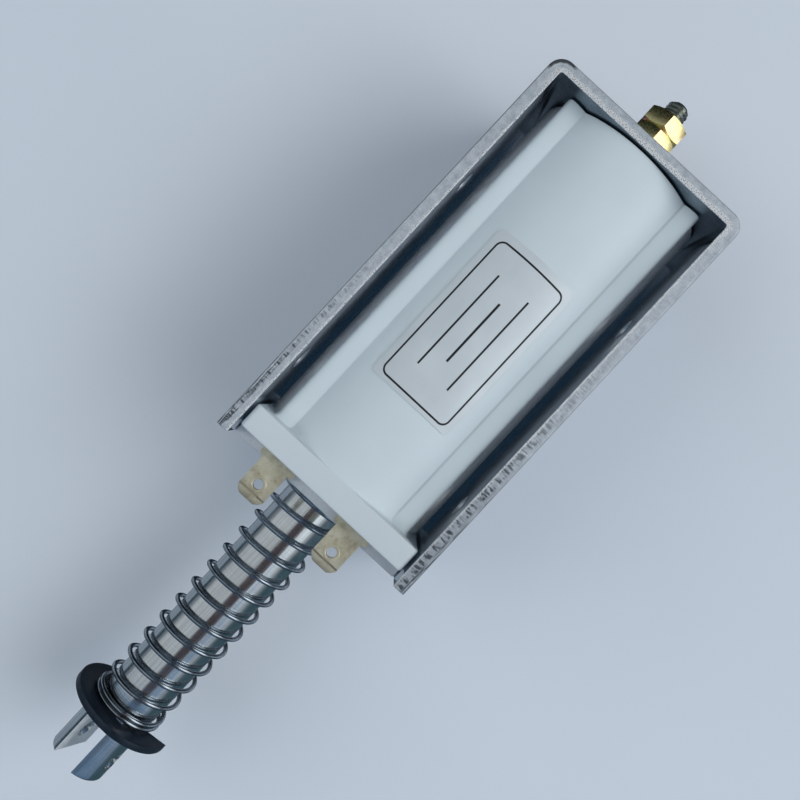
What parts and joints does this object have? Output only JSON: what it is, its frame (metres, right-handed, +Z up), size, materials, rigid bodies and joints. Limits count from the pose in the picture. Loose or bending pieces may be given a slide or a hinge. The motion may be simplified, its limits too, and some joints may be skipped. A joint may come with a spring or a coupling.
{
  "type": "push pull solenoid",
  "caption": "Open-frame push pull solenoid: U-shaped steel frame, moulded coil with spade terminals, long sprung plunger with a forked nose, and a threaded push rod with nuts.",
  "frame": {"origin": "bottom centre of the whole object's box with the plunger out; z = 0 is the lower edge of the frame", "axes": "+X along the plunger towards the forked nose, +Y towards the right leg seen from behind, +Z up away from the lower edge of the frame, on the terminals' side"},
  "size_m": [0.1432, 0.0364, 0.032],
  "materials": {
    "zinc_frame": "zinc plated, with sheared edges",
    "zinc_plate": "zinc plated, satin",
    "white_nylon": "satin moulded",
    "bobbin_nylon": "satin moulded",
    "copper_wire": "enamelled",
    "tape": "polyester film",
    "tinned_brass": "dull, scratched",
    "drawn_brass": "drawn",
    "turned_steel": "turned and zinc plated, bright",
    "core_steel": "turned",
    "bronze": "sintered",
    "fibre": "pressed fibre",
    "silver_film": "satin metallised film with a black border",
    "spring_wire": "bright drawn wire",
    "black_rubber": "matt",
    "washer_steel": "zinc plated",
    "yellow_zinc": "yellow passivated zinc",
    "dark_rod": "dark oxide, threaded",
    "black_phosphate": "phosphated spring steel"
  },
  "bodies": {
    "frame_body": {"yoke_frame": "zinc_frame", "front_plate": "zinc_plate", "coil_housing": "white_nylon", "bobbin": "bobbin_nylon", "winding": "copper_wire", "winding_tape": "tape", "start_lead": "copper_wire", "finish_lead": "copper_wire", "terminal_left": "tinned_brass", "terminal_right": "tinned_brass", "guide_tube": "drawn_brass", "fixed_core": "core_steel", "rod_bush": "bronze", "residual_shim": "drawn_brass", "coil_pad": "fibre", "rating_label": "silver_film", "return_spring": "spring_wire"},
    "stop_body": {"stop_bumper": "black_rubber", "stop_washer": "washer_steel"},
    "plunger_body": {"plunger": "turned_steel", "push_rod": "dark_rod", "stop_nut": "yellow_zinc", "lock_nut": "yellow_zinc", "e_clip": "black_phosphate"}
  },
  "joints": [
    {"name": "plunger_slide", "type": "slide", "parent": "frame_body", "child": "stop_body", "axis": [-1, 0, 0], "range_m": [0, 0.025], "stiffness_N_per_m": 330, "springref_m": -0.012, "deforming": ["return_spring"]},
    {"name": "plunger_turn", "type": "hinge", "parent": "stop_body", "child": "plunger_body", "pos_m": [0, 0, 0.016], "axis": [1, 0, 0], "continuous": true}
  ]
}
